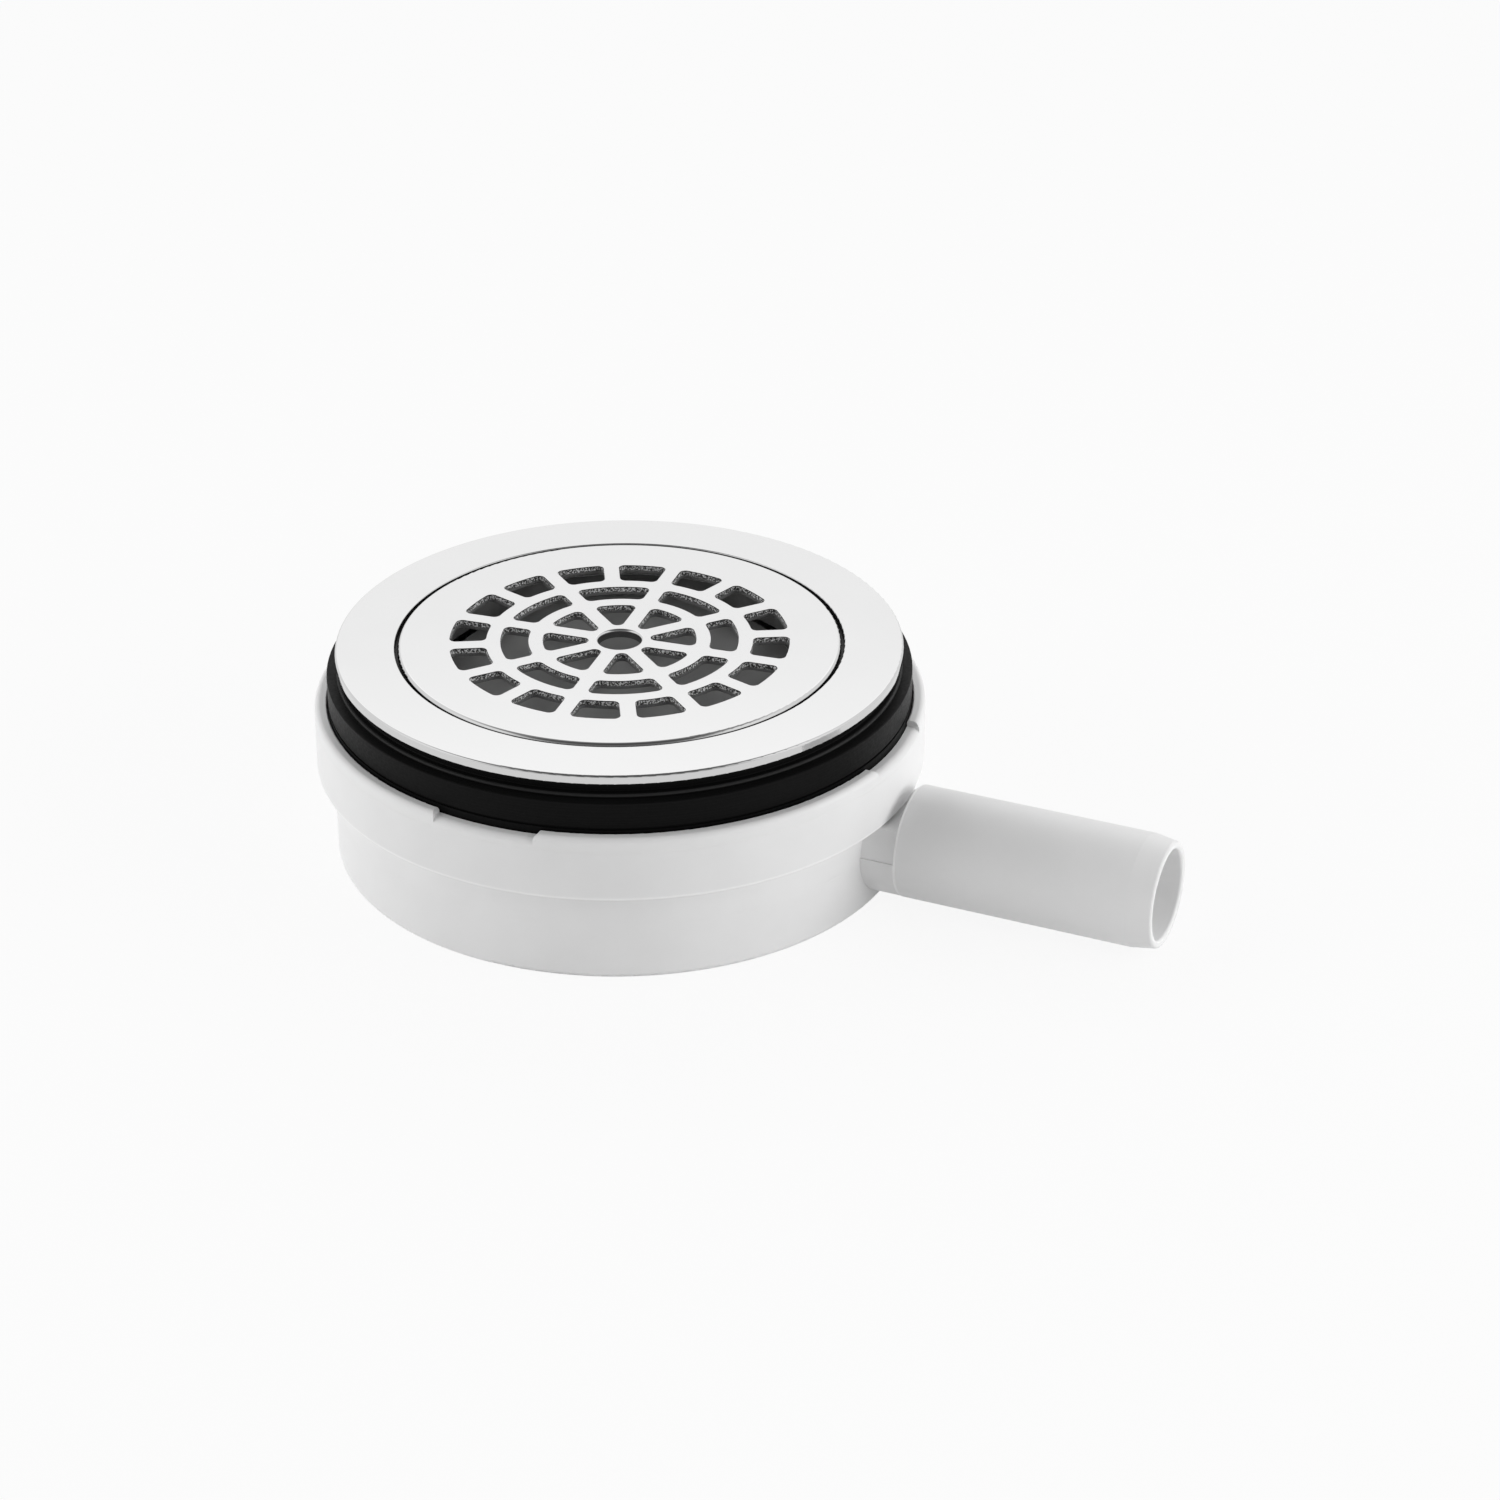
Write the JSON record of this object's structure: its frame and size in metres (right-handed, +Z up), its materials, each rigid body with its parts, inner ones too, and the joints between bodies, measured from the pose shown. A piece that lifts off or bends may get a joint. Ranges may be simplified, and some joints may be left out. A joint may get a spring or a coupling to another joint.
{
  "type": "shower waste outlet",
  "caption": "Low round shower waste outlet: polished flange and grate, black rubber seals, white moulded body and a side spigot that drains the tray.",
  "frame": {"origin": "on the axis of the round body, on the flat underside of the bowl", "axes": "+X along the spigot, towards its open end; +Z up, towards the grate"},
  "size_m": [0.1728, 0.119, 0.0425],
  "materials": {
    "white_plastic": "satin moulded",
    "black_rubber": "satin with fine turned lines",
    "polished_flange": "mirror polished",
    "polished_grate": "mirror polished, rough hole walls",
    "grey_plastic": "satin moulded"
  },
  "bodies": {
    "root": {"waste_bowl": "white_plastic", "clamp_collar": "white_plastic", "body_seal": "black_rubber", "flange_seal": "black_rubber", "flange": "polished_flange", "grate": "polished_grate", "strainer_dish": "grey_plastic"}
  },
  "joints": []
}
